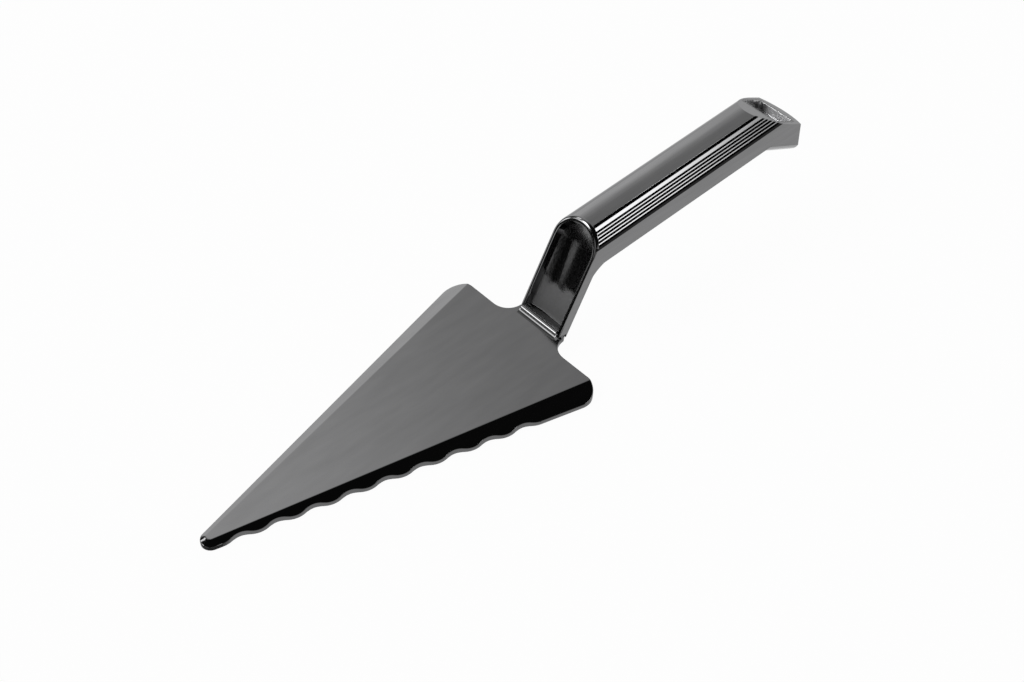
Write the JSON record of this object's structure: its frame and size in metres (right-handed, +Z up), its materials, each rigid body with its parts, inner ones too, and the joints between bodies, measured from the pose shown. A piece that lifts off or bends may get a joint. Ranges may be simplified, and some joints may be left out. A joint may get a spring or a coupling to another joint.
{
  "type": "cake server",
  "caption": "Cake server: tapering blade with turned-down edges and a wavy cutting edge, on a cranked hollow handle with a fluted grip panel and a hanging slot.",
  "frame": {"origin": "middle of the base of the whole server's box, on the surface that the blade's rim rests on", "axes": "+X from the blade's tip to the handle's end, +Z up, the wavy cutting edge on the -Y side"},
  "size_m": [0.2446, 0.067, 0.0423],
  "materials": {
    "blade_metal": "polished dark chrome",
    "handle_metallised": "moulding metallised in the same dark chrome",
    "rivet_steel": "plain"
  },
  "bodies": {
    "root": {"blade": "blade_metal", "handle_top": "handle_metallised", "handle_back": "handle_metallised", "hang_eyelet": "handle_metallised", "tongue_rivets": "rivet_steel"}
  },
  "joints": []
}
